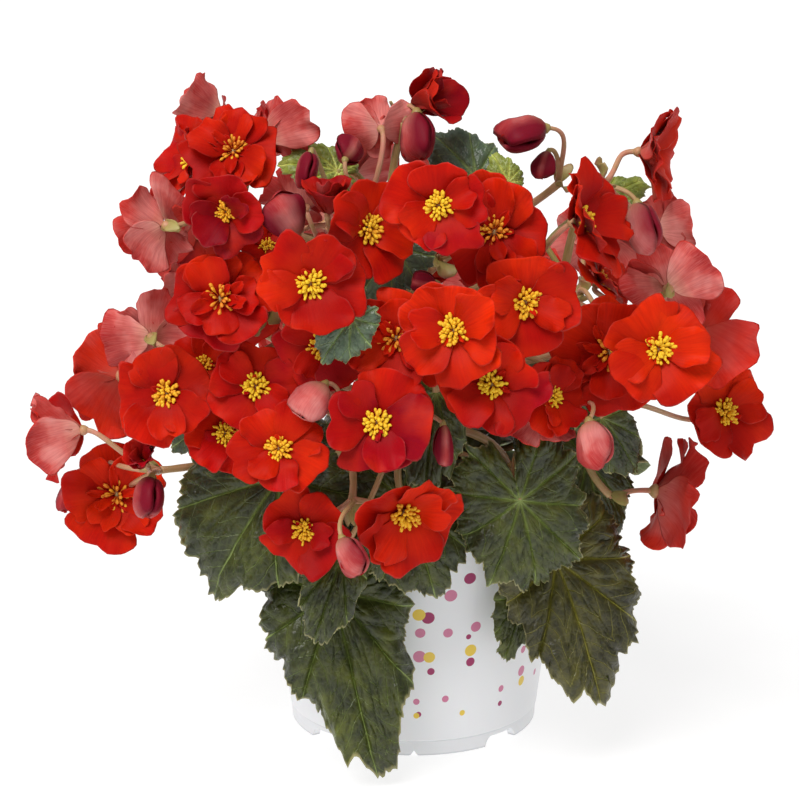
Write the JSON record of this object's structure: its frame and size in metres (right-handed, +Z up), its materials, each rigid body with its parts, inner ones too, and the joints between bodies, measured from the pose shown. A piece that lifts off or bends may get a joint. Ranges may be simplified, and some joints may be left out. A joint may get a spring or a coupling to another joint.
{
  "type": "potted begonia",
  "caption": "Red flowering tuberous begonia with large toothed leaves, hanging flowers and buds, growing in a round white moulded nursery pot.",
  "frame": {"origin": "on the pot's axis at the surface the pot stands on", "axes": "+Z up, -Y towards the side the picture shows, +X to the right of that side"},
  "size_m": [0.325, 0.2946, 0.3185],
  "materials": {
    "pot": "white injection-moulded plastic with a soft sheen and a scatter of plain printed dots",
    "soil": "dark brown peat and bark crumbs, matte",
    "stem": "fleshy olive to pinkish brown stem, slightly waxy",
    "leaf": "dark green quilted blade with paler yellow-green veins, semi-gloss",
    "bloom": "velvety orange-red petals, dusty pink outside, yellow stamens"
  },
  "bodies": {
    "root": {"pot": "pot", "potting_soil": "soil", "stem_left": "stem", "stem_upper_left": "stem", "stem_middle": "stem", "stem_right": "stem", "stem_back": "stem", "leaf_left": "leaf", "leaf_front_hanging": "leaf", "leaf_front_small": "leaf", "leaf_front_middle": "leaf", "leaf_front_palmate": "leaf", "leaf_right_hanging": "leaf", "leaf_right_upper": "leaf", "leaf_small_hanging": "leaf", "leaf_left_inner": "leaf", "leaf_left_small": "leaf", "leaf_top": "leaf", "leaf_top_left": "leaf", "leaf_top_small": "leaf", "leaf_inner_upper": "leaf", "leaf_inner_small": "leaf", "leaf_inner_middle": "leaf", "leaf_right_small": "leaf", "leaf_top_right": "leaf", "leaf_back_left": "leaf", "leaf_back_middle": "leaf", "leaf_back_right": "leaf", "leaf_back_upper": "leaf", "flowers_far_left": "bloom", "flower_and_bud_top": "bloom", "flowers_top_right": "bloom", "flower_right_low": "bloom", "flowers_right": "bloom", "flower_top_right_side": "bloom", "buds_top_right": "bloom", "flowers_front_low": "bloom", "flowers_top_left": "bloom", "flowers_left_upper": "bloom", "flower_and_bud_left": "bloom", "flowers_left_inner": "bloom", "flowers_upper_left_inner": "bloom", "flowers_upper_middle": "bloom", "flowers_top_middle": "bloom", "flower_right_inner": "bloom", "flowers_right_back_facing": "bloom", "flowers_left_back_facing": "bloom", "flowers_left": "bloom", "flowers_left_lower": "bloom", "flowers_middle_left": "bloom", "flowers_middle": "bloom", "flower_front_middle": "bloom", "flowers_front_right": "bloom", "flower_and_bud_right_lower": "bloom", "flowers_back_left": "bloom", "flowers_back_upper_left": "bloom", "flowers_back_middle_left": "bloom", "flowers_back_top": "bloom", "flowers_back_low_right": "bloom", "flowers_back_right": "bloom"}
  },
  "joints": []
}
